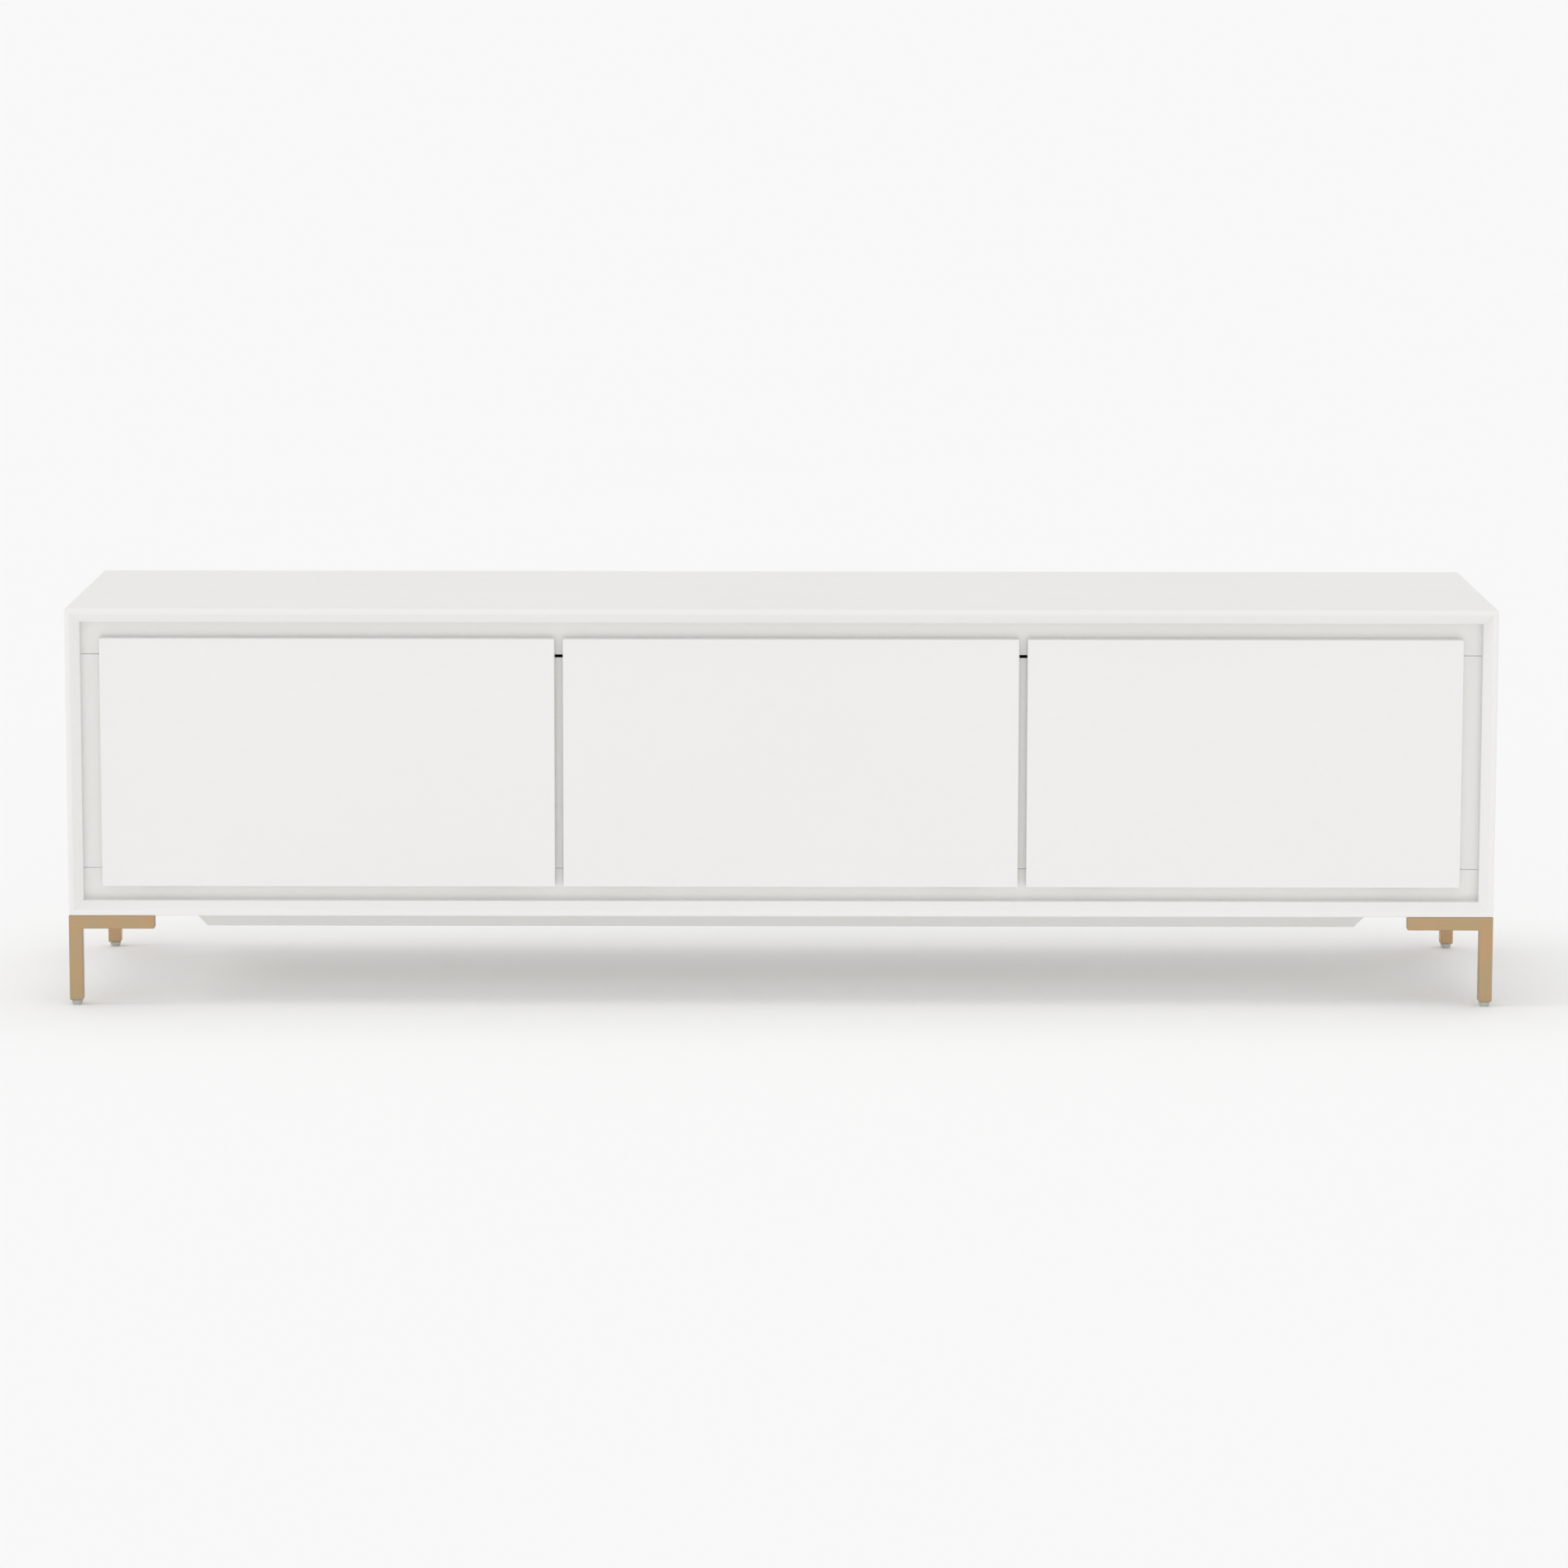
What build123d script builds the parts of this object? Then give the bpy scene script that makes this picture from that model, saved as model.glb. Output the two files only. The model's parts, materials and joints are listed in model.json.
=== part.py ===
from build123d import *

import os
from math import asin, degrees, sqrt

# A long, low media cabinet on four corner legs, with three drop-down doors.
# Lengths are in millimetres. +X is the viewer's right, +Y the back and +Z up.
# The origin is on the floor, under the centre of the case.

os.makedirs("parts", exist_ok=True)

# Driving dimensions: the case
WIDTH = 2032.0
DEPTH = 457.0
HEIGHT = 571.0
LEG_HEIGHT = 130.0
WALL = 20.0
RIM_FLAT = 6.5
RIM_BEVEL_DEPTH = 11.5
REBATE = 10.0
RIM_INNER_RADIUS = 5.0
RIM_OUTER_RADIUS = 1.9
REAR_RADIUS = 1.0
CORNER_RADIUS = 2.0
SPLINE_LENGTH = 16.0
SPLINE_THICKNESS = 4.0
SPLINE_INSET = 14.0

# The face frame, set back behind the case's front rim
FRAME_RECESS = 30.0
BOARD = 18.5
BOTTOM_RAIL_HEIGHT = 44.0
TOP_RAIL_HEIGHT = 48.0
STILE_WIDTH = 45.0
SEAM = 0.5
SEAM_CHAMFER = 0.4
SHADOW_SLOT = 4.2

# The doors, and the gaps that show round them
DOOR_WIDTHS = {"left": 646.0, "centre": 648.0, "right": 619.0}
DOOR_SPACING = 12.0
DOOR_RECESS = 10.5
DOOR_THICKNESS = 18.0
DOOR_BOTTOM_GAP = 20.8
DOOR_TOP_GAP = 23.5
DOOR_EDGE_RADIUS = 1.2

# Inside the case
DIVIDER = 18.0
SHELF = 18.0
SHELF_UNDERSIDE = 341.0
SHELF_FRONT = -150.0
SHELF_BACK = 195.0
SHELF_PLAY = 1.0
SHELF_EDGE_RADIUS = 1.0
PIN_RADIUS = 2.5
PIN_PITCH = 32.0
PIN_ROW_BACK = (-110.0, 155.0)
PIN_HOLE_DEPTH = 8.2
BACK_BOARD = 9.0
CABLE_HOLE_RADIUS = 30.0
CABLE_HOLE_HEIGHT = 235.0
DOWEL_RADIUS = 4.0
DOWEL_ROW = (-120.0, 20.0, 160.0)

# Hinges, stays and catches
HINGE_LENGTH = 64.0
HINGE_INSET = 90.0
HINGE_KNUCKLES = 5
LEAF_THICKNESS = 1.6
LEAF_HEIGHT = 20.0
KNUCKLE_RADIUS = 2.75
KNUCKLE_CLEARANCE = 0.35
KNUCKLE_GAP = 0.3
HINGE_PIN_RADIUS = 1.5
HINGE_PIN_CHAMFER = 0.3
HINGE_SCREW_HEIGHT = 12.0
HINGE_SCREW_STEPS = (-22.0, 0.0, 22.0)
STAY_RADIUS = 120.0
STAY_WIDTH = 14.0
STAY_THICKNESS = 2.5
STAY_GAP = 1.0
STUD_RADIUS = 3.0
STUD_SETBACK = 7.0
STUD_SCREW_STEPS = (-14.0, 14.0)
STAY_SCREW_STEPS = (-16.0, 16.0)
DOOR_TRAVEL = 90.0
PLATE = 2.0
MAGNET_RADIUS = 6.0
MAGNET_CHAMFER = 0.4
STRIKE_RADIUS = 8.0
STRIKE_CHAMFER = 0.3
CATCH_HEIGHT = 515.0

# Legs, glides and the rail under the case
LEG_BAR = 19.0
LEG_ARM = 122.0
LEG_WALL = 2.0
LEG_INSERT = 12.0
LEG_EDGE_RADIUS = 1.2
ACCESS_RADIUS = 4.9
GLIDE_HEIGHT = 7.2
GLIDE_RADIUS = 7.8
GLIDE_SOLE_RADIUS = 5.4
GLIDE_SOLE_CHAMFER = 0.8
GLIDE_WAIST = 3.6
GLIDE_TOP_CHAMFER = 0.6
GLIDE_STEM_RADIUS = 4.0
GLIDE_STEM_TOP = 38.0
GLIDE_STEM_CHAMFER = 0.8
SUPPORT_DROP = 55.5
SUPPORT_THICKNESS = 20.0
SUPPORT_TOP_LENGTH = 1793.0
SUPPORT_EDGE_RADIUS = 1.0
SUPPORT_SCREW_X = range(-780, 781, 260)

# Screws, as (length, shank radius, head radius), and the fits round fixings
HARDWARE_SCREW = (14.0, 1.5, 2.8)
BACK_SCREW = (18.0, 1.5, 3.0)
SUPPORT_SCREW = (45.0, 2.5, 5.0)
LEG_SCREW = (11.0, 2.5, 4.5)
LEG_SCREW_HEAD = 3.0
LEG_SCREW_INSETS = ((50.0, 9.5), (105.0, 9.5), (12.0, 50.0), (12.0, 105.0))
PLAY = 0.05
GLIDE_SHOULDER_GAP = 0.3

# Which end of a cylinder stands on its place
BASE = (Align.CENTER, Align.CENTER, Align.MIN)
TOP = (Align.CENTER, Align.CENTER, Align.MAX)

# Planes and places that follow from them
FRONT = -DEPTH / 2
BACK = DEPTH / 2
SIDE = WIDTH / 2
INNER_SIDE = SIDE - WALL
FLOOR = LEG_HEIGHT + WALL
CEILING = HEIGHT - WALL
MID_HEIGHT = (LEG_HEIGHT + HEIGHT) / 2
FRAME_FRONT = FRONT + FRAME_RECESS
FRAME_BACK = FRAME_FRONT + BOARD
FRAME_BOTTOM = FLOOR + BOTTOM_RAIL_HEIGHT
FRAME_TOP = CEILING - TOP_RAIL_HEIGHT
DOOR_FRONT = FRONT + DOOR_RECESS
DOOR_BACK = DOOR_FRONT + DOOR_THICKNESS
DOOR_BOTTOM = FLOOR + DOOR_BOTTOM_GAP
DOOR_TOP = CEILING - DOOR_TOP_GAP
BACK_FRONT = BACK - REBATE
HINGE_Y = (DOOR_BACK + FRAME_FRONT) / 2
HINGE_Z = DOOR_BOTTOM
STUD_Y = HINGE_Y + STUD_SETBACK
STUD_Z = HINGE_Z + sqrt(STAY_RADIUS**2 - STUD_SETBACK**2)

doors_and_gaps = sum(DOOR_WIDTHS.values()) + DOOR_SPACING * (len(DOOR_WIDTHS) - 1)
door_spans = {}
door_start = -doors_and_gaps / 2
for side, door_width in DOOR_WIDTHS.items():
    door_spans[side] = (door_start, door_start + door_width)
    door_start += door_width + DOOR_SPACING

divider_centres = [door_spans[side][1] + DOOR_SPACING / 2 for side in ("left", "centre")]
bay_walls = [-INNER_SIDE]
for centre in divider_centres:
    bay_walls += [centre - DIVIDER / 2, centre + DIVIDER / 2]
bay_walls.append(INNER_SIDE)
bays = {side: (bay_walls[2 * n], bay_walls[2 * n + 1]) for n, side in enumerate(DOOR_WIDTHS)}
stay_walls = {
    "left": divider_centres[0] - STILE_WIDTH / 2,
    "centre": divider_centres[1] - STILE_WIDTH / 2,
    "right": INNER_SIDE - STILE_WIDTH,
}
hinge_centres = {
    side: (low + HINGE_INSET, high - HINGE_INSET) for side, (low, high) in door_spans.items()
}


def save(piece, name):
    """Label a finished piece and write it to its own STEP file."""
    piece.part.label = name
    export_step(piece.part, f"parts/{name}.step")


def middle(span):
    """Midpoint of a (low, high) pair."""
    return (span[0] + span[1]) / 2


def block(x, y, z, mode=Mode.ADD):
    """Box between the two values of each of x, y and z, in the part that is being built."""
    with Locations((middle(x), middle(y), middle(z))):
        Box(abs(x[1] - x[0]), abs(y[1] - y[0]), abs(z[1] - z[0]), mode=mode)


def facing(point, direction):
    """Plane at a point, looking along a direction."""
    return Plane(origin=point, z_dir=direction)


def countersunk_screw(size, play=0.0):
    """Screw with its head's face at the origin and its shank down -Z; play makes the hole for it."""
    length, shank, head = size
    with BuildPart() as screw:
        with BuildSketch(Plane.XZ):
            with BuildLine():
                Polyline(
                    (0, 0),
                    (head + play, 0),
                    (shank + play, shank - head),
                    (shank + play, shank - length - play),
                    (0, -length - play),
                    close=True,
                )
            make_face()
        revolve(axis=Axis.Z)
        if not play:
            with BuildSketch():
                Rectangle(head * 1.1, head * 0.22)
                Rectangle(head * 0.22, head * 1.1)
            extrude(amount=-head * 0.35, mode=Mode.SUBTRACT)
    return screw.part


def drill(size, places):
    """Holes for countersunk screws, in the part that is being built."""
    with Locations(*places):
        add(countersunk_screw(size, PLAY), mode=Mode.SUBTRACT)


def screw_set(size, places, name):
    """One node of identical countersunk screws."""
    with BuildPart() as screws:
        with Locations(*places):
            add(countersunk_screw(size))
    save(screws, name)


# Where the screws go: each place is a plane whose +Z comes out of the screw's head.
hinge_screw_x = [
    centre + step
    for centres in hinge_centres.values()
    for centre in centres
    for step in HINGE_SCREW_STEPS
]
hinge_screw_z = HINGE_Z + HINGE_SCREW_HEIGHT
frame_screw_places = [facing((x, FRAME_FRONT, hinge_screw_z), (0, -1, 0)) for x in hinge_screw_x]
plate_screw_y = FRAME_FRONT + BOARD / 2
stud_screw_places = {
    side: [
        facing((wall - PLATE, plate_screw_y, STUD_Z + step), (-1, 0, 0))
        for step in STUD_SCREW_STEPS
    ]
    for side, wall in stay_walls.items()
}
support_screw_places = [facing((x, 0, FLOOR), (0, 0, 1)) for x in SUPPORT_SCREW_X]
leg_screw_spots = [
    (sx * (SIDE - dx), sy * (BACK - dy))
    for sx in (-1, 1)
    for sy in (-1, 1)
    for dx, dy in LEG_SCREW_INSETS
]
back_spans = []
back_edges = [-SIDE + REBATE] + divider_centres + [SIDE - REBATE]
for left_edge, right_edge in zip(back_edges, back_edges[1:]):
    back_spans.append((left_edge + PLAY, right_edge - PLAY))
BACK_Z = (LEG_HEIGHT + REBATE + PLAY, HEIGHT - REBATE - PLAY)
EDGE_INSET = 4.5
BACK_SCREWS_ALONG = (0.08, 0.36, 0.64, 0.92)
BACK_SCREWS_UP = (0.33, 0.67)
back_screw_places = []
for low, high in back_spans:
    for height in (BACK_Z[0] + EDGE_INSET, BACK_Z[1] - EDGE_INSET):
        for share in BACK_SCREWS_ALONG:
            x = low + (high - low) * share
            back_screw_places.append(facing((x, BACK_FRONT + BACK_BOARD, height), (0, 1, 0)))
    for x in (low + EDGE_INSET, high - EDGE_INSET):
        for share in BACK_SCREWS_UP:
            height = BACK_Z[0] + (BACK_Z[1] - BACK_Z[0]) * share
            back_screw_places.append(facing((x, BACK_FRONT + BACK_BOARD, height), (0, 1, 0)))


# The case: one mitred ring of four boards, with a flat rim and an inward bevel at the front
case_height = HEIGHT - LEG_HEIGHT
with BuildPart() as case_ring:
    with BuildSketch(Plane.XZ.offset(BACK)):
        with Locations((0, MID_HEIGHT)):
            RectangleRounded(WIDTH, case_height, CORNER_RADIUS)
            Rectangle(WIDTH - 2 * WALL, case_height - 2 * WALL, mode=Mode.SUBTRACT)
    extrude(amount=-DEPTH)
    rim = case_ring.faces().sort_by(Axis.Y)[0]
    inner_rim = rim.inner_wires()[0].edges()
    chamfer(inner_rim, length=WALL - RIM_FLAT, length2=RIM_BEVEL_DEPTH, reference=rim)
    rim = case_ring.faces().sort_by(Axis.Y)[0]
    fillet(rim.inner_wires()[0].edges(), radius=RIM_INNER_RADIUS)
    rim = case_ring.faces().sort_by(Axis.Y)[0]
    fillet(rim.outer_wire().edges(), radius=RIM_OUTER_RADIUS)
    fillet(case_ring.faces().sort_by(Axis.Y)[-1].outer_wire().edges(), radius=REAR_RADIUS)
    block(
        (REBATE - SIDE, SIDE - REBATE),
        (BACK_FRONT, BACK),
        (LEG_HEIGHT + REBATE, HEIGHT - REBATE),
        mode=Mode.SUBTRACT,
    )

# The mitre planes at the case's corners, each facing the top or the bottom board
top_mitres = [facing((sx * SIDE, 0, HEIGHT), (-sx, 0, 1)) for sx in (-1, 1)]
bottom_mitres = [facing((sx * SIDE, 0, LEG_HEIGHT), (-sx, 0, -1)) for sx in (-1, 1)]


def corner_slots(play, mode):
    """Four spline shapes across the mitres, grown by play on every side."""
    with BuildSketch(Plane.XZ.offset(2 * REBATE - BACK)) as slots:
        for x_sign in (-1, 1):
            for z_sign in (-1, 1):
                spline_x = x_sign * (SIDE - SPLINE_INSET)
                spline_z = MID_HEIGHT + z_sign * (case_height / 2 - SPLINE_INSET)
                with Locations((spline_x, spline_z)):
                    Rectangle(
                        SPLINE_LENGTH + 2 * play,
                        SPLINE_THICKNESS + 2 * play,
                        rotation=-45 * x_sign * z_sign,
                    )
    extrude(slots.sketch, amount=DEPTH - 4 * REBATE, mode=mode)


def case_board(cuts):
    """Board that is left of the case's ring on the facing side of each cutting plane."""
    with BuildPart() as board:
        add(case_ring.part)
        for cut in cuts:
            split(bisect_by=cut)
        corner_slots(PLAY, Mode.SUBTRACT)
    return board.part


dowel_spots = [(x, y) for x in divider_centres for y in DOWEL_ROW]
DOWEL_IN_CASE = 12.0
DOWEL_IN_DIVIDER = 20.0

with BuildPart() as top_board:
    add(case_board([facing((0, 0, MID_HEIGHT), (0, 0, 1))] + top_mitres))
    with Locations(*[(x, y, CEILING + DOWEL_IN_CASE / 2) for x, y in dowel_spots]):
        Cylinder(DOWEL_RADIUS + PLAY, DOWEL_IN_CASE, mode=Mode.SUBTRACT)
    drill(BACK_SCREW, back_screw_places)
save(top_board, "top_board")

with BuildPart() as bottom_board:
    add(case_board([facing((0, 0, MID_HEIGHT), (0, 0, -1))] + bottom_mitres))
    with Locations(*[(x, y, FLOOR - DOWEL_IN_CASE / 2) for x, y in dowel_spots]):
        Cylinder(DOWEL_RADIUS + PLAY, DOWEL_IN_CASE, mode=Mode.SUBTRACT)
    with Locations(*[facing((x, y, LEG_HEIGHT), (0, 0, -1)) for x, y in leg_screw_spots]):
        Hole(LEG_SCREW[1] + PLAY, depth=LEG_SCREW[0] - LEG_WALL + PLAY)
    drill(SUPPORT_SCREW, support_screw_places)
    drill(BACK_SCREW, back_screw_places)
save(bottom_board, "bottom_board")

# Shelf pins sit in rows of holes, so that each shelf can be moved up or down
pin_height = SHELF_UNDERSIDE - PIN_RADIUS
pin_heights = [pin_height + PIN_PITCH * step for step in (-2, -1, 0, 1, 2)]


def pin_holes(wall, inward):
    """Two rows of shelf pin holes in the wall at x, drilled away from the bay it faces."""
    spots = [facing((wall, y, z), (inward, 0, 0)) for y in PIN_ROW_BACK for z in pin_heights]
    with Locations(*spots):
        Hole(PIN_RADIUS + PLAY, depth=PIN_HOLE_DEPTH)


for n, (name, sx) in enumerate((("left_side_board", -1), ("right_side_board", 1))):
    with BuildPart() as side_board:
        add(case_board([-top_mitres[n], -bottom_mitres[n]]))
        pin_holes(sx * INNER_SIDE, -sx)
        drill(BACK_SCREW, back_screw_places)
    save(side_board, name)

with BuildPart() as corner_splines:
    corner_slots(0, Mode.ADD)
save(corner_splines, "corner_splines")

for name, centre in zip(("left_divider", "right_divider"), divider_centres):
    with BuildPart() as divider:
        faces = (centre - DIVIDER / 2, centre + DIVIDER / 2)
        block(faces, (FRAME_BACK, BACK_FRONT), (FLOOR, CEILING))
        for height in (FLOOR, CEILING - DOWEL_IN_DIVIDER):
            with Locations(*[(centre, y, height + DOWEL_IN_DIVIDER / 2) for y in DOWEL_ROW]):
                Cylinder(DOWEL_RADIUS + PLAY, DOWEL_IN_DIVIDER, mode=Mode.SUBTRACT)
        pin_holes(faces[0], -1)
        pin_holes(faces[1], 1)
        drill(BACK_SCREW, back_screw_places)
    save(divider, name)

DOWEL_END_GAP = 1.0
DOWEL_LENGTH = DOWEL_IN_CASE + DOWEL_IN_DIVIDER - 2 * DOWEL_END_GAP
with BuildPart() as divider_dowels:
    for height in (FLOOR - DOWEL_IN_CASE + DOWEL_END_GAP, CEILING - DOWEL_IN_DIVIDER + DOWEL_END_GAP):
        with Locations(*[(x, y, height + DOWEL_LENGTH / 2) for x, y in dowel_spots]):
            Cylinder(DOWEL_RADIUS, DOWEL_LENGTH)
save(divider_dowels, "divider_dowels")

# The face frame
magnet_planes = [
    facing((middle(span), FRAME_FRONT, CATCH_HEIGHT), (0, -1, 0)) for span in door_spans.values()
]
MAGNET_DEPTH = 10.0

with BuildPart() as top_rail:
    block((-INNER_SIDE, INNER_SIDE), (FRAME_FRONT, FRAME_BACK), (FRAME_TOP, CEILING))
    with Locations(*magnet_planes):
        Hole(MAGNET_RADIUS + PLAY, depth=MAGNET_DEPTH)
save(top_rail, "top_rail")

with BuildPart() as bottom_rail:
    block((-INNER_SIDE, INNER_SIDE), (FRAME_FRONT, FRAME_BACK), (FLOOR, FRAME_BOTTOM))
    for centres in hinge_centres.values():
        for centre in centres:
            pocket = (centre - HINGE_LENGTH / 2 - PLAY, centre + HINGE_LENGTH / 2 + PLAY)
            block(
                pocket,
                (FRAME_FRONT - 1, FRAME_FRONT + LEAF_THICKNESS),
                (HINGE_Z, HINGE_Z + LEAF_HEIGHT + PLAY),
                mode=Mode.SUBTRACT,
            )
            with Locations(facing((centre, HINGE_Y, HINGE_Z), (1, 0, 0))):
                Cylinder(
                    KNUCKLE_RADIUS + KNUCKLE_CLEARANCE, pocket[1] - pocket[0], mode=Mode.SUBTRACT
                )
    drill(HARDWARE_SCREW, frame_screw_places)
save(bottom_rail, "bottom_rail")

centre_stile_spans = [(x - STILE_WIDTH / 2, x + STILE_WIDTH / 2) for x in divider_centres]
stile_spans = {
    "left_stile": (-INNER_SIDE, -INNER_SIDE + STILE_WIDTH),
    "left_centre_stile": centre_stile_spans[0],
    "right_centre_stile": centre_stile_spans[1],
    "right_stile": (INNER_SIDE - STILE_WIDTH, INNER_SIDE),
}
for name, span in stile_spans.items():
    top_gap = SHADOW_SLOT if "centre" in name else SEAM
    with BuildPart() as stile:
        block(span, (FRAME_FRONT, FRAME_BACK), (FRAME_BOTTOM + SEAM, FRAME_TOP - top_gap))
        chamfer(stile.faces().sort_by(Axis.Y)[0].edges().filter_by(Axis.X), length=SEAM_CHAMFER)
        for places in stud_screw_places.values():
            drill(HARDWARE_SCREW, places)
    save(stile, name)

# Back boards, each with a cable hole and its grommet
cable_holes = {
    side: facing((middle(bays[side]), BACK_FRONT + BACK_BOARD, CABLE_HOLE_HEIGHT), (0, 1, 0))
    for side in bays
}
for side, span in zip(bays, back_spans):
    with BuildPart() as back_board:
        block(span, (BACK_FRONT, BACK_FRONT + BACK_BOARD), BACK_Z)
        with Locations(cable_holes[side]):
            Hole(CABLE_HOLE_RADIUS)
        drill(BACK_SCREW, back_screw_places)
    save(back_board, f"{side}_back_board")

screw_set(BACK_SCREW, back_screw_places, "back_board_screws")

GROMMET_WALL = 2.4
GROMMET_FLANGE = 36.0
GROMMET_FLANGE_THICKNESS = 1.5
grommet_places = [
    facing((plane.origin.X, BACK_FRONT, CABLE_HOLE_HEIGHT), (0, 1, 0)) for plane in cable_holes.values()
]
with BuildPart() as cable_grommets:
    with Locations(*grommet_places):
        Cylinder(CABLE_HOLE_RADIUS - PLAY, BACK_BOARD, align=BASE)
        Cylinder(GROMMET_FLANGE, GROMMET_FLANGE_THICKNESS, align=TOP)
        Cylinder(CABLE_HOLE_RADIUS - GROMMET_WALL, 3 * BACK_BOARD, mode=Mode.SUBTRACT)
save(cable_grommets, "cable_grommets")

# Shelves and their pins
PIN_LENGTH = 16.0
for side, (low, high) in bays.items():
    with BuildPart() as shelf:
        block(
            (low + SHELF_PLAY, high - SHELF_PLAY),
            (SHELF_FRONT, SHELF_BACK),
            (SHELF_UNDERSIDE, SHELF_UNDERSIDE + SHELF),
        )
        fillet(shelf.faces().sort_by(Axis.Y)[0].edges().filter_by(Axis.X), radius=SHELF_EDGE_RADIUS)
    save(shelf, f"{side}_shelf")

with BuildPart() as shelf_pins:
    for low, high in bays.values():
        for x in (low, high):
            with Locations(*[facing((x, y, pin_height), (1, 0, 0)) for y in PIN_ROW_BACK]):
                Cylinder(PIN_RADIUS, PIN_LENGTH)
save(shelf_pins, "shelf_pins")


# Butt hinges along the bottom edge of each door
def hinge_leaf(centre, plate_y, own):
    """Leaf of a butt hinge: plate_y is its plate's span and own lists the knuckles it carries."""
    segment = HINGE_LENGTH / HINGE_KNUCKLES
    start = centre - HINGE_LENGTH / 2
    clear = KNUCKLE_RADIUS + KNUCKLE_CLEARANCE
    with BuildPart() as leaf:
        block((start, start + HINGE_LENGTH), plate_y, (HINGE_Z, HINGE_Z + LEAF_HEIGHT))
        for n in range(HINGE_KNUCKLES):
            with Locations(facing((start + (n + 0.5) * segment, HINGE_Y, HINGE_Z), (1, 0, 0))):
                if n in own:
                    Cylinder(KNUCKLE_RADIUS, segment - KNUCKLE_GAP)
                else:
                    Cylinder(clear, segment, mode=Mode.SUBTRACT)
        with Locations(facing((start, HINGE_Y, HINGE_Z), (1, 0, 0))):
            Cylinder(HINGE_PIN_RADIUS + PLAY, 2 * HINGE_LENGTH, mode=Mode.SUBTRACT)
    return leaf.part


frame_plate_y = (FRAME_FRONT, FRAME_FRONT + LEAF_THICKNESS)
with BuildPart() as frame_hinge_leaves:
    for centres in hinge_centres.values():
        for centre in centres:
            add(hinge_leaf(centre, frame_plate_y, (0, 2, 4)))
    drill(HARDWARE_SCREW, frame_screw_places)
save(frame_hinge_leaves, "frame_hinge_leaves")

with BuildPart() as hinge_pins:
    for centres in hinge_centres.values():
        with Locations(*[facing((x, HINGE_Y, HINGE_Z), (1, 0, 0)) for x in centres]):
            Cylinder(HINGE_PIN_RADIUS, HINGE_LENGTH)
    chamfer(hinge_pins.edges().filter_by(GeomType.CIRCLE), length=HINGE_PIN_CHAMFER)
save(hinge_pins, "hinge_pins")

# Quadrant stays: an arc on each door, centred on the hinge pin, rides on a fixed stud
stud_angle = degrees(asin(STUD_SETBACK / STAY_RADIUS))
FOOT_WIDTH = 20.0
FOOT_HEIGHT = 46.0
STAY_PLAY = 0.3
FOOT_INSET = PLATE + STAY_GAP + STAY_THICKNESS + FOOT_WIDTH / 2
stay_screw_places = {
    side: [
        facing((wall - FOOT_INSET, DOOR_BACK + PLATE, STUD_Z + step), (0, 1, 0))
        for step in STAY_SCREW_STEPS
    ]
    for side, wall in stay_walls.items()
}


def quadrant_stay(wall):
    """Slotted arc and foot plate of the stay that rides on the stud in the wall at x."""
    bar_right = wall - PLATE - STAY_GAP
    bar_left = bar_right - STAY_THICKNESS
    path = CenterArc((HINGE_Y, HINGE_Z), STAY_RADIUS, -stud_angle, DOOR_TRAVEL)
    with BuildPart() as stay:
        with BuildSketch(Plane.YZ.offset(bar_left)):
            SlotArc(path, STAY_WIDTH)
            with Locations((middle((DOOR_BACK, STUD_Y)), STUD_Z)):
                Rectangle(STUD_Y - DOOR_BACK, STAY_WIDTH)
            SlotArc(path, 2 * (STUD_RADIUS + STAY_PLAY), mode=Mode.SUBTRACT)
        extrude(amount=STAY_THICKNESS)
        block(
            (bar_left - FOOT_WIDTH, bar_right),
            (DOOR_BACK, DOOR_BACK + PLATE),
            (STUD_Z - FOOT_HEIGHT / 2, STUD_Z + FOOT_HEIGHT / 2),
        )
    return stay.part


STUD_HEAD_RADIUS = 4.6
STUD_HEAD = 2.0
STUD_REACH = 2 * STAY_GAP + STAY_THICKNESS
STUD_PLATE_INSET = 1.0
STUD_PLATE_HALF = 22.0
with BuildPart() as stay_studs:
    for wall in stay_walls.values():
        block(
            (wall - PLATE, wall),
            (FRAME_FRONT + STUD_PLATE_INSET, FRAME_BACK - STUD_PLATE_INSET),
            (STUD_Z - STUD_PLATE_HALF, STUD_Z + STUD_PLATE_HALF),
        )
        with Locations(facing((wall - PLATE, STUD_Y, STUD_Z), (-1, 0, 0))):
            Cylinder(STUD_RADIUS, STUD_REACH + STUD_HEAD, align=BASE)
        with Locations(facing((wall - PLATE - STUD_REACH, STUD_Y, STUD_Z), (-1, 0, 0))):
            Cylinder(STUD_HEAD_RADIUS, STUD_HEAD, align=BASE)
    for places in stud_screw_places.values():
        drill(HARDWARE_SCREW, places)
save(stay_studs, "stay_studs")

all_stud_screws = [place for places in stud_screw_places.values() for place in places]
screw_set(HARDWARE_SCREW, frame_screw_places + all_stud_screws, "frame_hardware_screws")

# Magnetic catches in the top rail and bumpers beside them
MAGNET_PROUD = 0.5
with BuildPart() as magnetic_catches:
    with Locations(*[plane.offset(MAGNET_PROUD) for plane in magnet_planes]):
        Cylinder(MAGNET_RADIUS, MAGNET_DEPTH, align=TOP)
    front_faces = magnetic_catches.faces().filter_by(Axis.Y).sort_by(Axis.Y)[: len(magnet_planes)]
    chamfer(front_faces.edges(), length=MAGNET_CHAMFER)
save(magnetic_catches, "magnetic_catches")

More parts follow.
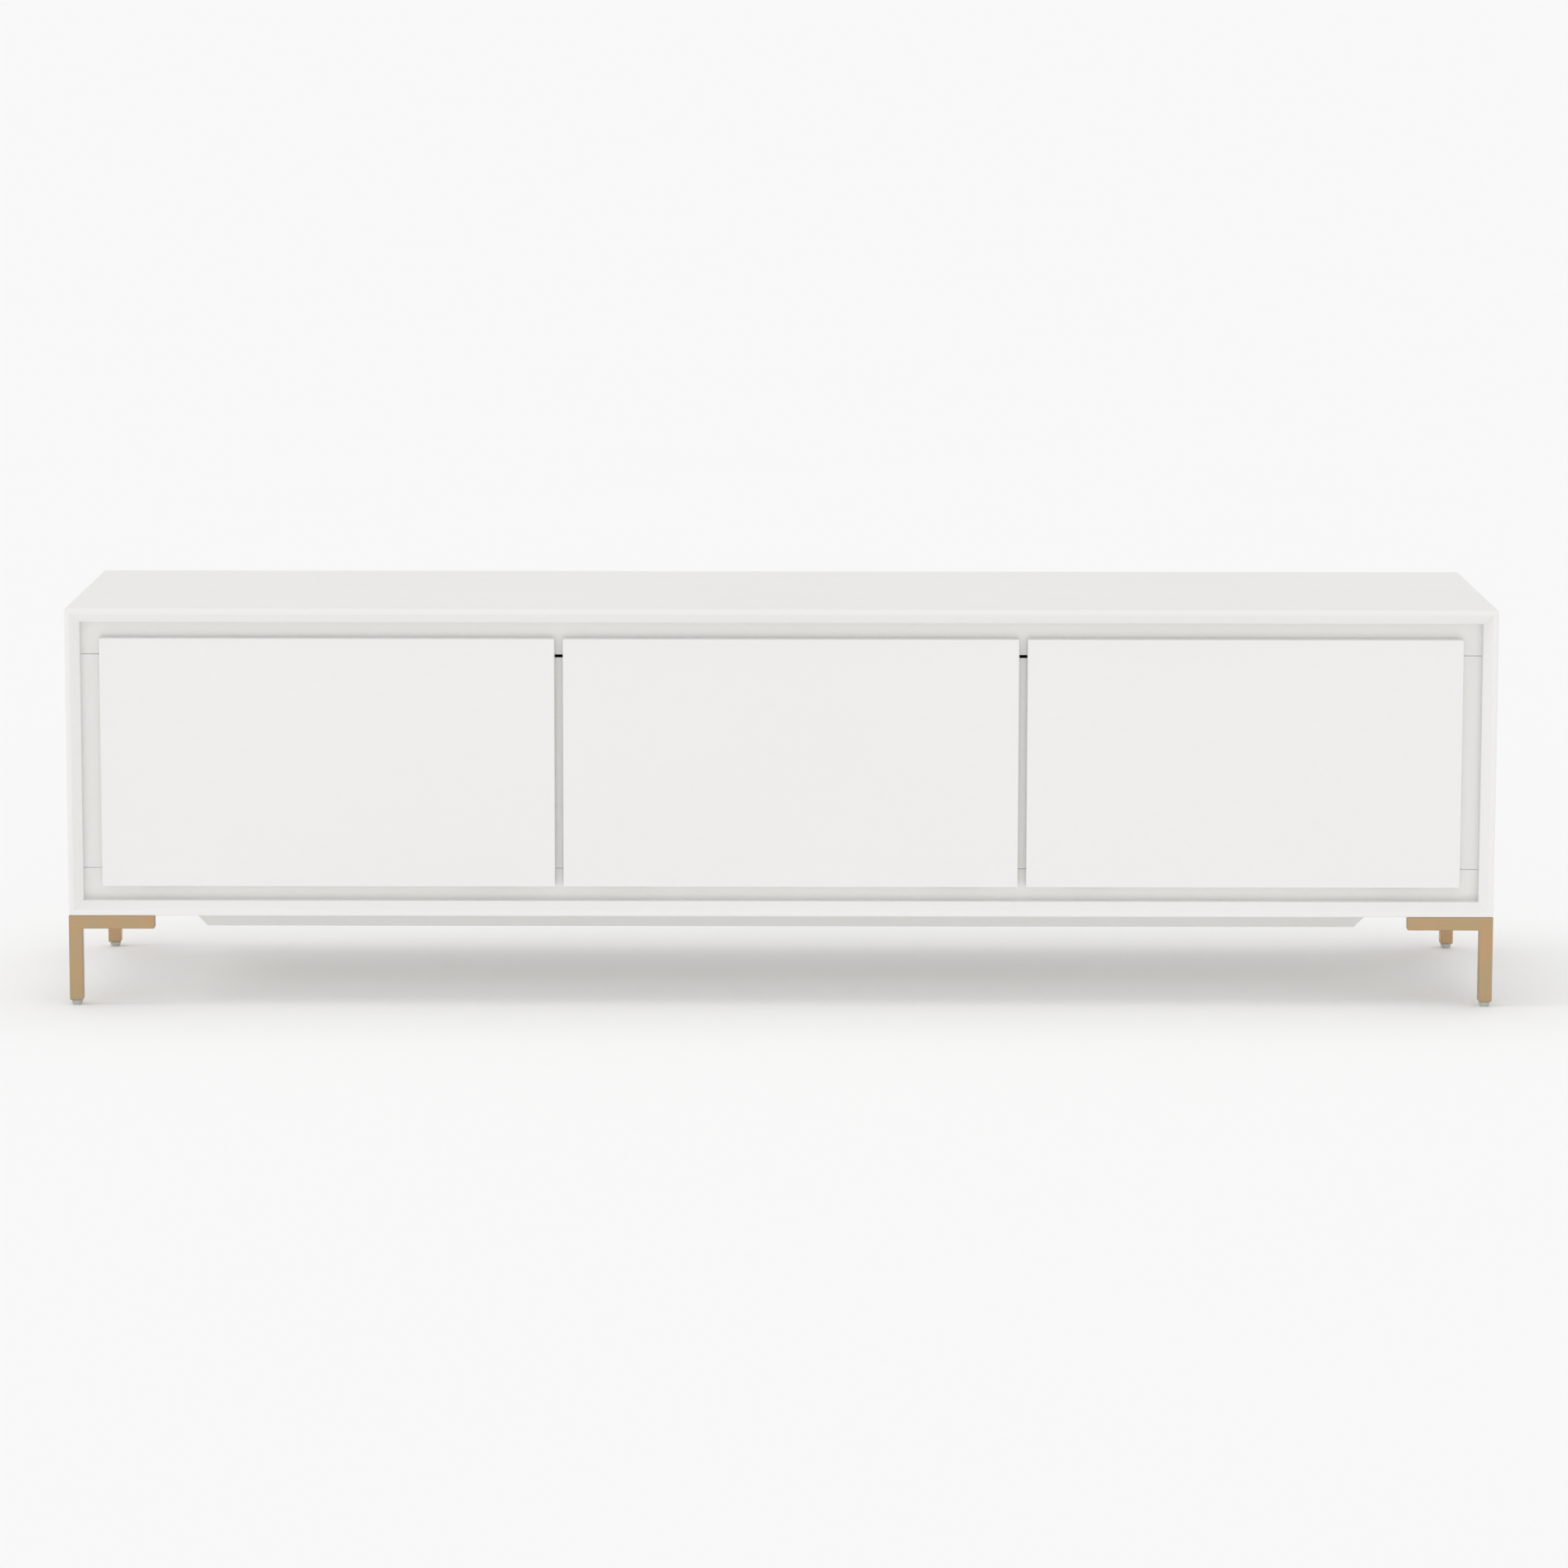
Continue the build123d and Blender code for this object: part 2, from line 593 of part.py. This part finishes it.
BUMPER_RADIUS = 4.0
BUMPER_HEIGHT = 1.1
BUMPER_INSET = 16.0
with BuildPart() as door_bumpers:
    for span in door_spans.values():
        spots = (span[0] + BUMPER_INSET, span[1] - BUMPER_INSET)
        with Locations(*[facing((x, FRAME_FRONT, CATCH_HEIGHT), (0, -1, 0)) for x in spots]):
            Cylinder(BUMPER_RADIUS, BUMPER_HEIGHT, align=BASE)
save(door_bumpers, "door_bumpers")

# Doors and everything that moves with them
STRIKE_THICKNESS = 2.0
STRIKE_RECESS = 1.6
door_plate_y = (DOOR_BACK - LEAF_THICKNESS, DOOR_BACK)
for side, span in door_spans.items():
    centres = hinge_centres[side]
    strike_face = DOOR_BACK - STRIKE_RECESS + STRIKE_THICKNESS
    leaf_screws = [
        facing((centre + step, DOOR_BACK, hinge_screw_z), (0, 1, 0))
        for centre in centres
        for step in HINGE_SCREW_STEPS
    ]
    strike_screw = [facing((middle(span), strike_face, CATCH_HEIGHT), (0, 1, 0))]

    with BuildPart() as door:
        block(span, (DOOR_FRONT, DOOR_BACK), (DOOR_BOTTOM, DOOR_TOP))
        fillet(door.edges(), radius=DOOR_EDGE_RADIUS)
        for centre in centres:
            pocket = (centre - HINGE_LENGTH / 2 - PLAY, centre + HINGE_LENGTH / 2 + PLAY)
            block(
                pocket,
                (DOOR_BACK - LEAF_THICKNESS, DOOR_BACK + 1),
                (HINGE_Z, HINGE_Z + LEAF_HEIGHT + PLAY),
                mode=Mode.SUBTRACT,
            )
            with Locations(facing((centre, HINGE_Y, HINGE_Z), (1, 0, 0))):
                Cylinder(
                    KNUCKLE_RADIUS + KNUCKLE_CLEARANCE, pocket[1] - pocket[0], mode=Mode.SUBTRACT
                )
        with Locations(facing((middle(span), DOOR_BACK, CATCH_HEIGHT), (0, 1, 0))):
            Hole(STRIKE_RADIUS + PLAY, depth=STRIKE_RECESS)
        drill(HARDWARE_SCREW, leaf_screws + strike_screw + stay_screw_places[side])
    save(door, f"{side}_door")

    with BuildPart() as door_leaves:
        for centre in centres:
            add(hinge_leaf(centre, door_plate_y, (1, 3)))
        drill(HARDWARE_SCREW, leaf_screws)
    save(door_leaves, f"{side}_door_hinge_leaves")

    with BuildPart() as strike:
        with Locations(facing((middle(span), strike_face, CATCH_HEIGHT), (0, 1, 0))):
            Cylinder(STRIKE_RADIUS, STRIKE_THICKNESS, align=TOP)
        chamfer(strike.faces().sort_by(Axis.Y)[-1].edges(), length=STRIKE_CHAMFER)
        drill(HARDWARE_SCREW, strike_screw)
    save(strike, f"{side}_door_strike")

    with BuildPart() as stay:
        add(quadrant_stay(stay_walls[side]))
        drill(HARDWARE_SCREW, stay_screw_places[side])
    save(stay, f"{side}_door_stay")

    door_screws = leaf_screws + strike_screw + stay_screw_places[side]
    screw_set(HARDWARE_SCREW, door_screws, f"{side}_door_screws")

# Corner legs of square tube: a post with an arm along X and an arm along Y
LEG_BOTTOM = GLIDE_HEIGHT + GLIDE_SHOULDER_GAP
ARM_BOTTOM = LEG_HEIGHT - LEG_BAR
GLIDE_PROFILE = (
    (0, 0),
    (GLIDE_SOLE_RADIUS, 0),
    (GLIDE_SOLE_RADIUS + GLIDE_SOLE_CHAMFER, GLIDE_SOLE_CHAMFER),
    (GLIDE_RADIUS, GLIDE_WAIST),
    (GLIDE_RADIUS, GLIDE_HEIGHT - GLIDE_TOP_CHAMFER),
    (GLIDE_RADIUS - GLIDE_TOP_CHAMFER, GLIDE_HEIGHT),
    (GLIDE_STEM_RADIUS, GLIDE_HEIGHT),
    (GLIDE_STEM_RADIUS, GLIDE_STEM_TOP - GLIDE_STEM_CHAMFER),
    (GLIDE_STEM_RADIUS - GLIDE_STEM_CHAMFER, GLIDE_STEM_TOP),
    (0, GLIDE_STEM_TOP),
)
for x_name, sx in (("left", -1), ("right", 1)):
    for y_name, sy in (("front", -1), ("rear", 1)):
        x_tube = (sx * SIDE, sx * (SIDE - LEG_BAR))
        y_tube = (sy * BACK, sy * (BACK - LEG_BAR))
        x_arm = (sx * SIDE, sx * (SIDE - LEG_ARM))
        y_arm = (sy * BACK, sy * (BACK - LEG_ARM))
        x_bore = (sx * (SIDE - LEG_WALL), sx * (SIDE - LEG_BAR + LEG_WALL))
        y_bore = (sy * (BACK - LEG_WALL), sy * (BACK - LEG_BAR + LEG_WALL))
        x_arm_bore = (x_bore[0], sx * (SIDE - LEG_ARM + LEG_WALL))
        y_arm_bore = (y_bore[0], sy * (BACK - LEG_ARM + LEG_WALL))
        arm_bore = (ARM_BOTTOM + LEG_WALL, LEG_HEIGHT - LEG_WALL)
        post_bore = (LEG_BOTTOM + LEG_INSERT, arm_bore[1])
        post_centre = (middle(x_tube), middle(y_tube))
        own_spots = [(x, y) for x, y in leg_screw_spots if x * sx > 0 and y * sy > 0]
        with BuildPart() as leg:
            block(x_tube, y_tube, (LEG_BOTTOM, LEG_HEIGHT))
            block(x_arm, y_tube, (ARM_BOTTOM, LEG_HEIGHT))
            block(x_tube, y_arm, (ARM_BOTTOM, LEG_HEIGHT))
            fillet(leg.edges(), radius=LEG_EDGE_RADIUS)
            block(x_bore, y_bore, post_bore, mode=Mode.SUBTRACT)
            block(x_arm_bore, y_bore, arm_bore, mode=Mode.SUBTRACT)
            block(x_bore, y_arm_bore, arm_bore, mode=Mode.SUBTRACT)
            with Locations(*[(x, y, LEG_HEIGHT) for x, y in own_spots]):
                Hole(LEG_SCREW[1] + PLAY, depth=LEG_WALL + 1)
            with Locations(*[(x, y, ARM_BOTTOM + LEG_WALL + 1) for x, y in own_spots]):
                Hole(ACCESS_RADIUS, depth=LEG_WALL + 1)
            with Locations((*post_centre, LEG_BOTTOM + LEG_INSERT)):
                Hole(GLIDE_STEM_RADIUS + PLAY, depth=LEG_INSERT)
        save(leg, f"{y_name}_{x_name}_leg")

        with BuildPart() as glide:
            with BuildSketch(Plane((*post_centre, 0), x_dir=(1, 0, 0), z_dir=(0, -1, 0))):
                with BuildLine():
                    Polyline(*GLIDE_PROFILE, close=True)
                make_face()
            revolve(axis=Axis((*post_centre, 0), (0, 0, 1)))
        save(glide, f"{y_name}_{x_name}_glide")

with BuildPart() as leg_screws:
    with Locations(*[(x, y, LEG_HEIGHT - LEG_WALL) for x, y in leg_screw_spots]):
        Cylinder(LEG_SCREW[1], LEG_SCREW[0], align=BASE)
        Cylinder(LEG_SCREW[2], LEG_SCREW_HEAD, align=TOP)
save(leg_screws, "leg_screws")

# The rail that stiffens the underside of the case
with BuildPart() as support_rail:
    with BuildSketch(Plane.XZ.offset(SUPPORT_THICKNESS / 2)):
        with BuildLine():
            half = SUPPORT_TOP_LENGTH / 2
            Polyline(
                (-half, LEG_HEIGHT),
                (half, LEG_HEIGHT),
                (half - SUPPORT_DROP, LEG_HEIGHT - SUPPORT_DROP),
                (SUPPORT_DROP - half, LEG_HEIGHT - SUPPORT_DROP),
                close=True,
            )
        make_face()
    extrude(amount=-SUPPORT_THICKNESS)
    fillet(support_rail.faces().sort_by(Axis.Z)[0].edges(), radius=SUPPORT_EDGE_RADIUS)
    drill(SUPPORT_SCREW, support_screw_places)
save(support_rail, "support_rail")

screw_set(SUPPORT_SCREW, support_screw_places, "support_rail_screws")
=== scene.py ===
"""Looks of the white media cabinet: lacquer, bronze, fittings, floor, light and camera.

Everything is in metres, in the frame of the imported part: X to the right, -Y to the front, Z up.
"""

import json
import math

import bmesh
import bpy
from mathutils import Matrix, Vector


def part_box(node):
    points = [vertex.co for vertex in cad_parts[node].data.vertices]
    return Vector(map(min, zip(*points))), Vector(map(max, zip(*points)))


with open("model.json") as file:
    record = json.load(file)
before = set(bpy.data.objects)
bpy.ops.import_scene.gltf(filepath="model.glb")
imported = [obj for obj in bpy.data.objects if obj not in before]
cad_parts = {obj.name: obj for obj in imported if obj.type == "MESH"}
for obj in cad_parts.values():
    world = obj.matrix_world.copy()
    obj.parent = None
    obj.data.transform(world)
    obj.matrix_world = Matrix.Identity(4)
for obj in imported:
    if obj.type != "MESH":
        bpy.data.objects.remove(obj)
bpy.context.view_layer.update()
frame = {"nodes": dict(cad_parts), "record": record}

nodes = frame["nodes"]
record = frame["record"]
slot_colors = {m["slot"]: tuple(m["base_color"]) + (1.0,) for m in record["materials"]}

# Painted shade: the near-black painted inside the open slots over the centre stiles.
SLOT_PAINTED_SHADE = (0.004, 0.004, 0.004, 1.0)
SLOT_EDGE = 0.0002
LEG_BAR = 0.019
BRONZE_TONE = (0.955, 0.95, 1.0)
NYLON_LIGHTER = 1.12
LACQUER_ROUGHNESS = 0.36
INSIDE_ROUGHNESS = 0.58
LACQUER_PEEL = 1.0
INSIDE_PEEL = 1.6
LACQUER_IOR = 1.47
PLASTIC_IOR = 1.5
MOULD_GRAIN = 0.00001
slot_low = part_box("left_centre_stile")[1].z
slot_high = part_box("top_rail")[0].z
frame_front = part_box("top_rail")[0].y
frame_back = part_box("top_rail")[1].y
arm_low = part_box("front_left_leg")[1].z - LEG_BAR


# ---------------------------------------------------------------- shader helpers

def shader_tree(name):
    """A new material with only a Principled shader and its output."""
    material = bpy.data.materials.new(name)
    material.use_nodes = True
    tree = material.node_tree
    tree.nodes.clear()
    output = tree.nodes.new("ShaderNodeOutputMaterial")
    shader = tree.nodes.new("ShaderNodeBsdfPrincipled")
    tree.links.new(shader.outputs["BSDF"], output.inputs["Surface"])
    return material, tree, shader


def place_in(tree, stretch=(1.0, 1.0, 1.0)):
    """Object coordinates in metres, stretched along each axis."""
    coords = tree.nodes.new("ShaderNodeTexCoord")
    mapping = tree.nodes.new("ShaderNodeMapping")
    mapping.inputs["Scale"].default_value = stretch
    tree.links.new(coords.outputs["Object"], mapping.inputs["Vector"])
    return mapping.outputs["Vector"]


def noise(tree, place, scale, detail=2.0, roughness=0.5):
    texture = tree.nodes.new("ShaderNodeTexNoise")
    texture.inputs["Scale"].default_value = scale
    texture.inputs["Detail"].default_value = detail
    texture.inputs["Roughness"].default_value = roughness
    tree.links.new(place, texture.inputs["Vector"])
    return texture.outputs["Fac"]


def spread(tree, value, low, high, from_low=0.3, from_high=0.7):
    """The value from from_low to from_high, mapped to low to high."""
    node = tree.nodes.new("ShaderNodeMapRange")
    node.inputs["From Min"].default_value = from_low
    node.inputs["From Max"].default_value = from_high
    node.inputs["To Min"].default_value = low
    node.inputs["To Max"].default_value = high
    tree.links.new(value, node.inputs["Value"])
    return node.outputs["Result"]


def math_node(tree, operation, first, second):
    node = tree.nodes.new("ShaderNodeMath")
    node.operation = operation
    for socket, value in zip(node.inputs, (first, second)):
        if isinstance(value, (int, float)):
            socket.default_value = value
        else:
            tree.links.new(value, socket)
    return node.outputs[0]


def mix_colors(tree, factor, first, second):
    node = tree.nodes.new("ShaderNodeMix")
    node.data_type = "RGBA"
    tree.links.new(factor, node.inputs["Factor"])
    for name, value in (("A", first), ("B", second)):
        socket = [s for s in node.inputs if s.name == name and s.type == "RGBA"][0]
        if isinstance(value, tuple):
            socket.default_value = value
        else:
            tree.links.new(value, socket)
    return [s for s in node.outputs if s.type == "RGBA"][0]


def bump(tree, height, distance, strength=1.0, below=None):
    node = tree.nodes.new("ShaderNodeBump")
    node.inputs["Distance"].default_value = distance
    node.inputs["Strength"].default_value = strength
    tree.links.new(height, node.inputs["Height"])
    if below is not None:
        tree.links.new(below, node.inputs["Normal"])
    return node.outputs["Normal"]


def slot_painted_shade_mask(tree):
    """1 inside the open slots over the centre stiles, as deep as the face frame, and 0 elsewhere: the mask
    where black is painted as shade.
    """
    parts = tree.nodes.new("ShaderNodeSeparateXYZ")
    tree.links.new(place_in(tree), parts.inputs["Vector"])
    above = math_node(tree, "GREATER_THAN", parts.outputs["Z"], slot_low - SLOT_EDGE)
    below = math_node(tree, "LESS_THAN", parts.outputs["Z"], slot_high + SLOT_EDGE)
    behind = math_node(tree, "GREATER_THAN", parts.outputs["Y"], frame_front + SLOT_EDGE)
    before = math_node(tree, "LESS_THAN", parts.outputs["Y"], frame_back + SLOT_EDGE)
    in_height = math_node(tree, "MULTIPLY", above, below)
    return math_node(tree, "MULTIPLY", in_height, math_node(tree, "MULTIPLY", behind, before))


def tint(color, factor):
    return tuple(c * factor for c in color[:3]) + (1.0,)


def scaled(color, factors):
    return tuple(c * f for c, f in zip(color, factors)) + (1.0,)


# ---------------------------------------------------------------- materials

def lacquer(name, color, rough, peel, paint_slot_shade=False):
    """Sprayed lacquer on board: slow cloudiness, orange peel and a satin sheen."""
    material, tree, shader = shader_tree(name)
    place = place_in(tree)
    clouds = noise(tree, place, 2.3, 3.0)
    mottle = noise(tree, place, 85.0, 3.0)
    base = mix_colors(tree, spread(tree, clouds, 0.0, 1.0), tint(color, 0.988), tint(color, 1.008))
    base = mix_colors(tree, spread(tree, mottle, 0.0, 0.45), base, tint(color, 0.985))
    # Painted shade: black painted inside the open slots, where the gap would be dark.
    if paint_slot_shade:
        base = mix_colors(tree, slot_painted_shade_mask(tree), base, SLOT_PAINTED_SHADE)
    tree.links.new(base, shader.inputs["Base Color"])
    handled = noise(tree, place, 9.0, 4.0, 0.6)
    tree.links.new(spread(tree, handled, rough - 0.05, rough + 0.06), shader.inputs["Roughness"])
    shader.inputs["IOR"].default_value = LACQUER_IOR
    dimples = noise(tree, place, 330.0, 1.0)
    waves = noise(tree, place, 26.0, 1.0)
    low_bump = bump(tree, waves, 0.00025, 0.35)
    tree.links.new(bump(tree, dimples, 0.00006 * peel, 0.6, low_bump), shader.inputs["Normal"])
    return material


def bronze(name, color):
    """Satin champagne bronze: brushed along each tube, in slow warmer and greener patches."""
    material, tree, shader = shader_tree(name)
    place = place_in(tree)
    up_the_post = noise(tree, place_in(tree, (1500.0, 1500.0, 45.0)), 1.0, 2.0)
    along_the_arm = noise(tree, place_in(tree, (45.0, 45.0, 1500.0)), 1.0, 2.0)
    parts = tree.nodes.new("ShaderNodeSeparateXYZ")
    tree.links.new(place, parts.inputs["Vector"])
    on_arm = math_node(tree, "GREATER_THAN", parts.outputs["Z"], arm_low)
    on_post = math_node(tree, "SUBTRACT", 1.0, on_arm)
    brushed = math_node(
        tree, "ADD",
        math_node(tree, "MULTIPLY", along_the_arm, on_arm),
        math_node(tree, "MULTIPLY", up_the_post, on_post),
    )
    patches = noise(tree, place, 17.0, 3.0, 0.55)
    warm = scaled(color, (1.06, 0.97, 0.90))
    green = scaled(color, (0.95, 1.02, 1.02))
    base = mix_colors(tree, spread(tree, patches, 0.0, 1.0, 0.35, 0.65), warm, green)
    fine = mix_colors(tree, spread(tree, brushed, 0.0, 0.16), base, tint(color, 0.80))
    tree.links.new(fine, shader.inputs["Base Color"])
    shader.inputs["Metallic"].default_value = 1.0
    rough = math_node(tree, "ADD", spread(tree, brushed, 0.36, 0.44), spread(tree, patches, -0.03, 0.04))
    tree.links.new(rough, shader.inputs["Roughness"])
    low_bump = bump(tree, patches, 0.0003, 0.2)
    tree.links.new(bump(tree, brushed, 0.00002, 0.3, low_bump), shader.inputs["Normal"])
    return material


def plated_steel(name, color, rough_low, rough_high):
    """Bright plating on pressed steel: fine scratches and a slightly uneven polish."""
    material, tree, shader = shader_tree(name)
    place = place_in(tree)
    patches = noise(tree, place, 60.0, 3.0, 0.6)
    scratches = noise(tree, place_in(tree, (2600.0, 320.0, 900.0)), 1.0, 1.0)
    base = mix_colors(tree, spread(tree, patches, 0.0, 1.0), tint(color, 0.88), tint(color, 1.08))
    tree.links.new(base, shader.inputs["Base Color"])
    shader.inputs["Metallic"].default_value = 1.0
    tree.links.new(spread(tree, patches, rough_low, rough_high), shader.inputs["Roughness"])
    low_bump = bump(tree, patches, 0.0001, 0.3)
    tree.links.new(bump(tree, scratches, 0.00001, 0.4, low_bump), shader.inputs["Normal"])
    return material


def moulded_plastic(name, color, rough_low, rough_high):
    """Moulded plastic or nylon: a fine spark-eroded grain and a slight cloudiness."""
    material, tree, shader = shader_tree(name)
    place = place_in(tree)
    clouds = noise(tree, place, 70.0, 3.0)
    base = mix_colors(tree, spread(tree, clouds, 0.0, 1.0), tint(color, 0.93), tint(color, 1.05))
    tree.links.new(base, shader.inputs["Base Color"])
    tree.links.new(spread(tree, clouds, rough_low, rough_high), shader.inputs["Roughness"])
    shader.inputs["IOR"].default_value = PLASTIC_IOR
    fine = noise(tree, place, 2400.0, 1.0)
    tree.links.new(bump(tree, fine, MOULD_GRAIN, 0.6), shader.inputs["Normal"])
    return material


def soft_rubber(name, color):
    """Pale rubber dots: moulded, and letting a little light in."""
    material = moulded_plastic(name, color, 0.42, 0.58)
    shader = [n for n in material.node_tree.nodes if n.type == "BSDF_PRINCIPLED"][0]
    shader.inputs["Subsurface Weight"].default_value = 0.3
    shader.inputs["Subsurface Radius"].default_value = (0.004, 0.004, 0.003)
    shader.inputs["Subsurface Scale"].default_value = 1.0
    return material


def birch(name, color):
    """Plain birch: long pale grain, darker late wood, fine pores."""
    material, tree, shader = shader_tree(name)
    grain_place = place_in(tree, (6.0, 60.0, 60.0))
    grain = noise(tree, grain_place, 3.0, 4.0, 0.55)
    pores = noise(tree, place_in(tree, (60.0, 1400.0, 1400.0)), 1.0, 2.0)
    base = mix_colors(tree, spread(tree, grain, 0.0, 1.0), tint(color, 0.80), tint(color, 1.12))
    dark = mix_colors(tree, spread(tree, pores, 0.0, 0.7, 0.58, 0.75), base, tint(color, 0.55))
    tree.links.new(dark, shader.inputs["Base Color"])
    tree.links.new(spread(tree, grain, 0.55, 0.70), shader.inputs["Roughness"])
    tree.links.new(bump(tree, pores, 0.00005, 0.6), shader.inputs["Normal"])
    return material


white = slot_colors["white_lacquer"]
inside_white = slot_colors["white_inside"]
champagne = scaled(slot_colors["satin_bronze"], BRONZE_TONE)
nylon_grey = tint(slot_colors["glide_nylon"], NYLON_LIGHTER)
slot_materials = {
    "white_lacquer": lacquer("white_lacquer_look", white, LACQUER_ROUGHNESS, LACQUER_PEEL),
    "white_inside": lacquer("white_inside_look", inside_white, INSIDE_ROUGHNESS, INSIDE_PEEL),
    "joinery_wood": birch("joinery_wood_look", slot_colors["joinery_wood"]),
    "satin_bronze": bronze("satin_bronze_look", champagne),
    "glide_nylon": moulded_plastic("glide_nylon_look", nylon_grey, 0.42, 0.56),
    "steel": plated_steel("steel_look", slot_colors["steel"], 0.22, 0.36),
    "magnet_nickel": plated_steel("magnet_nickel_look", slot_colors["magnet_nickel"], 0.15, 0.28),
    "bumper_rubber": soft_rubber("bumper_rubber_look", slot_colors["bumper_rubber"]),
    "grommet_plastic": moulded_plastic("grommet_plastic_look", slot_colors["grommet_plastic"], 0.38, 0.5),
}

# Painted shade: the pieces round the open slots are painted black inside them, standing in for the dark of
# the gap.
slot_side_painted_shade = lacquer("slot_side_painted_shade_look", white, LACQUER_ROUGHNESS, LACQUER_PEEL, True)
slot_back_painted_shade = lacquer("slot_back_painted_shade_look", inside_white, INSIDE_ROUGHNESS, INSIDE_PEEL, True)
own_materials = {
    "top_rail": slot_side_painted_shade,
    "left_centre_stile": slot_side_painted_shade,
    "right_centre_stile": slot_side_painted_shade,
    "left_divider": slot_back_painted_shade,
    "right_divider": slot_back_painted_shade,
}

for name, node in nodes.items():
    slot = node.data.materials[0].name.split(".")[0]
    for index in range(len(node.data.materials)):
        node.data.materials[index] = own_materials.get(name, slot_materials[slot])


def drop_stored_normals(node):
    """Shades a node by its faces alone, through a modifier that leaves its own mesh as it is."""
    group = bpy.data.node_groups.new("drop_stored_normals", "GeometryNodeTree")
    group.interface.new_socket("Geometry", in_out="INPUT", socket_type="NodeSocketGeometry")
    group.interface.new_socket("Geometry", in_out="OUTPUT", socket_type="NodeSocketGeometry")
    before = group.nodes.new("NodeGroupInput")
    remove = group.nodes.new("GeometryNodeRemoveAttribute")
    remove.inputs["Name"].default_value = "custom_normal"
    after = group.nodes.new("NodeGroupOutput")
    group.links.new(before.outputs["Geometry"], remove.inputs["Geometry"])
    group.links.new(remove.outputs["Geometry"], after.inputs["Geometry"])
    node.modifiers.new("drop_stored_normals", "NODES").node_group = group


# The rail's long flat front holds sliver triangles whose stored normals shade as a thin line.
drop_stored_normals(nodes["top_rail"])


# ---------------------------------------------------------------- floor, light, camera

FLOOR_ALBEDO = 0.96
FLOOR_VARIATION = 0.002
FLOOR_RADIUS = 400.0
SKY = 0.80
BOUNCES = 16
# name: degrees to the right of the front and above the floor that the light comes from, irradiance, spread
LAMPS = {
    "floor_bounce": (0.0, -12.0, 0.27, 30.0),
    "front_low": (0.0, 8.0, 0.16, 50.0),
    "left_key": (-86.0, 30.0, 0.36, 14.0),
    "overhead": (0.0, 90.0, 0.36, 60.0),
}


def pale_floor():
    """A wide plain floor with a very faint cloudiness."""
    material, tree, shader = shader_tree("pale_floor")
    place = place_in(tree)
    clouds = noise(tree, place, 1.1, 3.0)
    floor_color = (FLOOR_ALBEDO, FLOOR_ALBEDO, FLOOR_ALBEDO)
    low = tint(floor_color, 1.0 - FLOOR_VARIATION)
    high = tint(floor_color, 1.0 + FLOOR_VARIATION)
    tree.links.new(mix_colors(tree, clouds, low, high), shader.inputs["Base Color"])
    shader.inputs["Roughness"].default_value = 0.9
    shader.inputs["Specular IOR Level"].default_value = 0.0
    mesh = bpy.data.meshes.new("floor")
    build = bmesh.new()
    bmesh.ops.create_circle(build, cap_ends=True, segments=96, radius=FLOOR_RADIUS)
    build.to_mesh(mesh)
    build.free()
    floor = bpy.data.objects.new("floor", mesh)
    mesh.materials.append(material)
    bpy.context.scene.collection.objects.link(floor)
    return floor


def studio_light(floor):
    """A plain white studio: an even dome, soft lights and the bounce of a bright floor far in front."""
    let_through = bpy.data.collections.new("let_through")
    let_through.objects.link(floor)
    let_through.collection_objects[0].light_linking.link_state = "EXCLUDE"
    world = bpy.data.worlds.new("studio")
    world.use_nodes = True
    world.node_tree.nodes["Background"].inputs["Color"].default_value = (SKY, SKY, SKY, 1.0)
    bpy.context.scene.world = world
    for name, (to_right, above, irradiance, angle) in LAMPS.items():
        lamp = bpy.data.lights.new(name, "SUN")
        lamp.energy = irradiance
        lamp.angle = math.radians(angle)
        light = bpy.data.objects.new(name, lamp)
        turn = Matrix.Rotation(math.radians(to_right), 4, "Z")
        tilt = Matrix.Rotation(math.radians(90.0 - above), 4, "X")
        light.matrix_world = turn @ tilt
        bpy.context.scene.collection.objects.link(light)
        if above < 0.0:
            light.light_linking.blocker_collection = let_through
            light.visible_glossy = False


CAMERA_PLACE = (-0.0074, -7.6237, 1.5170)
CAMERA_DOWN = 7.478
CAMERA_TO_RIGHT = 0.084
CAMERA_ROLL = 0.097
CAMERA_LENS = 120.95
CAMERA_SENSOR = 36.0
CAMERA_SHIFT = -0.10


def photo_camera():
    """The camera: in front of the case, above it, and looking slightly down."""
    data = bpy.data.cameras.new("camera")
    data.sensor_width = CAMERA_SENSOR
    data.lens = CAMERA_LENS
    data.shift_y = CAMERA_SHIFT
    data.clip_start = 0.1
    data.clip_end = 2000.0
    camera = bpy.data.objects.new("camera", data)
    turn = Matrix.Rotation(math.radians(-CAMERA_TO_RIGHT), 4, "Z")
    tilt = Matrix.Rotation(math.radians(90.0 - CAMERA_DOWN), 4, "X")
    roll = Matrix.Rotation(math.radians(CAMERA_ROLL), 4, "Z")
    camera.matrix_world = Matrix.Translation(CAMERA_PLACE) @ turn @ tilt @ roll
    bpy.context.scene.collection.objects.link(camera)
    bpy.context.scene.camera = camera


studio_light(pale_floor())
photo_camera()
bpy.context.scene.view_settings.view_transform = "Standard"
bpy.context.scene.cycles.max_bounces = BOUNCES
bpy.context.scene.cycles.diffuse_bounces = BOUNCES
